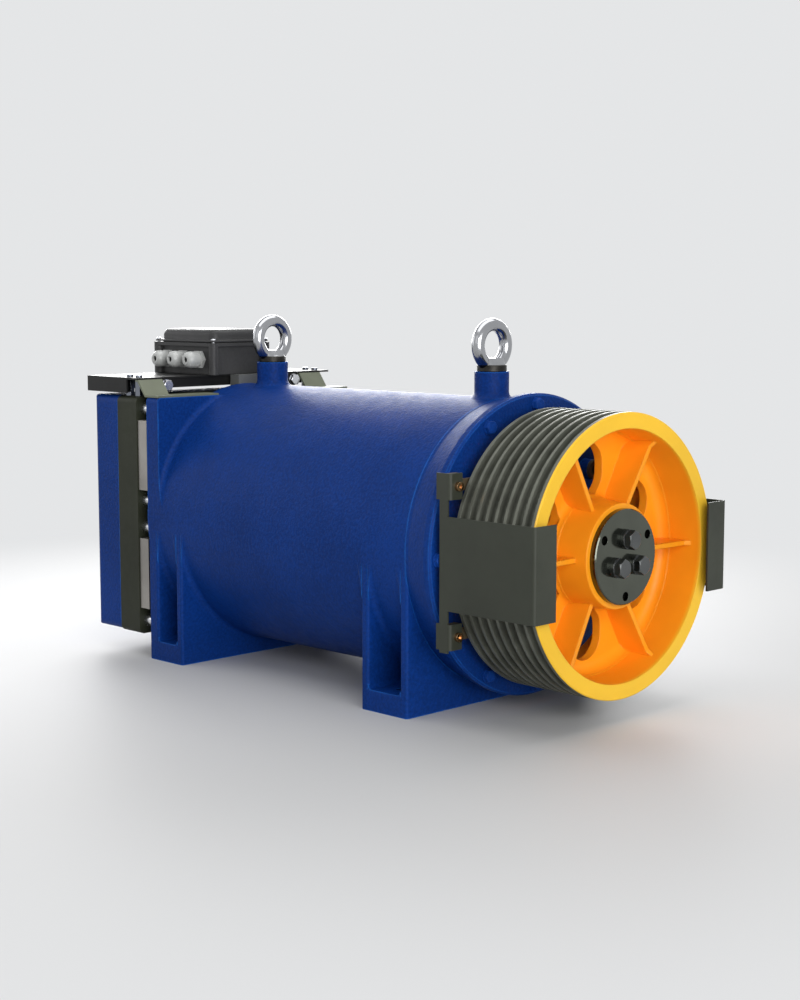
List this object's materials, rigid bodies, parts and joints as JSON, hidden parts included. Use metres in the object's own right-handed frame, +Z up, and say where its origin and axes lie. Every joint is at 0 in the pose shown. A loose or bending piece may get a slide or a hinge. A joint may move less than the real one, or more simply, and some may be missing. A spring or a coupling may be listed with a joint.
{
  "type": "elevator traction machine",
  "caption": "Gearless elevator traction machine: cast housing on feet, overhung rope sheave with guards, twin disc brake, cable tray, terminal box and lifting eyes.",
  "frame": {"origin": "centre of the four foot bolts, on the base plane", "axes": "+Z up; +Y along the shaft from the sheave to the brake; +X to the right when facing the sheave's back from the front"},
  "size_m": [0.438, 0.997, 0.5555],
  "materials": {
    "housing_paint": "gloss enamel on cast iron",
    "bolt_paint": "painted over",
    "eye_chrome": "bright plated",
    "core_steel": "laminated",
    "copper": "enamelled copper",
    "bearing_steel": "ground",
    "dark_steel": "oiled",
    "black_rubber": "matt",
    "shaft_steel": "ground",
    "magnet": "nickel plated",
    "sheave_paint": "gloss enamel with bare steel grooves",
    "end_plate_steel": "semi-gloss",
    "guard_paint": "satin",
    "arm_paint": "satin",
    "copper_screws": "copper plated",
    "friction_disc": "matt",
    "armature_steel": "milled",
    "magnet_paint": "satin",
    "bright_steel": "zinc plated",
    "encoder_black": "fine texture",
    "bracket_paint": "satin",
    "tray_black": "satin",
    "duct_sheet": "satin",
    "box_cast": "hammered satin",
    "terminal_plastic": "moulded",
    "brass": "bright",
    "gland_plastic": "moulded"
  },
  "bodies": {
    "machine_body": {"housing": "housing_paint", "front_end_shield": "housing_paint", "shield_bolts": "bolt_paint", "eyebolts": "eye_chrome", "stator_core": "core_steel", "stator_windings": "copper", "front_bearing_outer_ring": "bearing_steel", "rear_bearing_outer_ring": "bearing_steel", "front_bearing_cover": "housing_paint", "bearing_cover_bolts": "dark_steel", "shaft_seal": "black_rubber", "rope_guard_left": "guard_paint", "rope_guard_right": "guard_paint", "guard_arms": "arm_paint", "guard_screws": "copper_screws", "arm_bolts": "dark_steel", "brake_magnet_body": "magnet_paint", "brake_coils": "copper", "brake_springs": "bright_steel", "brake_guide_pins": "shaft_steel", "brake_spacers": "bright_steel", "brake_bolts": "dark_steel", "encoder": "encoder_black", "encoder_screws": "dark_steel", "rear_cover": "housing_paint", "rear_cover_screws": "dark_steel", "tray_bracket": "bracket_paint", "brake_tray": "tray_black", "tray_bolts": "bright_steel", "tray_posts": "bright_steel", "cable_duct": "duct_sheet", "duct_screws": "bright_steel", "terminal_box_base": "box_cast", "terminal_box_gasket": "black_rubber", "terminal_box_lid": "box_cast", "lid_screws": "bright_steel", "terminal_block": "terminal_plastic", "terminal_studs": "brass", "gland_bodies": "gland_plastic", "gland_nuts": "gland_plastic", "gland_seals": "black_rubber"},
    "rotor": {"shaft": "shaft_steel", "rotor_core": "core_steel", "rotor_magnets": "magnet", "front_bearing_inner_ring": "bearing_steel", "rear_bearing_inner_ring": "bearing_steel", "bearing_locknut": "dark_steel", "traction_sheave": "sheave_paint", "sheave_key": "shaft_steel", "shaft_end_plate": "end_plate_steel", "end_plate_bolts": "dark_steel", "brake_hub": "dark_steel", "brake_disc": "friction_disc"},
    "front_rollers": {"front_bearing_rollers": "bearing_steel"},
    "rear_balls": {"rear_bearing_balls": "bearing_steel"},
    "upper_armature": {"armature_upper": "armature_steel"},
    "lower_armature": {"armature_lower": "armature_steel"}
  },
  "joints": [
    {"name": "shaft_spin", "type": "hinge", "parent": "machine_body", "child": "rotor", "pos_m": [0, 0, 0.2305], "axis": [0, 1, 0], "continuous": true},
    {"name": "front_roller_spin", "type": "hinge", "parent": "machine_body", "child": "front_rollers", "pos_m": [0, 0, 0.2305], "axis": [0, 1, 0], "continuous": true},
    {"name": "rear_ball_spin", "type": "hinge", "parent": "machine_body", "child": "rear_balls", "pos_m": [0, 0, 0.2305], "axis": [0, 1, 0], "continuous": true},
    {"name": "upper_armature_lift", "type": "slide", "parent": "machine_body", "child": "upper_armature", "axis": [0, 1, 0], "range_m": [0, 0.0005], "stiffness_N_per_m": 50000, "springref_m": -0.01},
    {"name": "lower_armature_lift", "type": "slide", "parent": "machine_body", "child": "lower_armature", "axis": [0, 1, 0], "range_m": [0, 0.0005], "stiffness_N_per_m": 50000, "springref_m": -0.01}
  ],
  "couplings": [
    {"joint": "front_roller_spin", "follows": "shaft_spin", "ratio": 0.4406},
    {"joint": "rear_ball_spin", "follows": "shaft_spin", "ratio": 0.424}
  ]
}
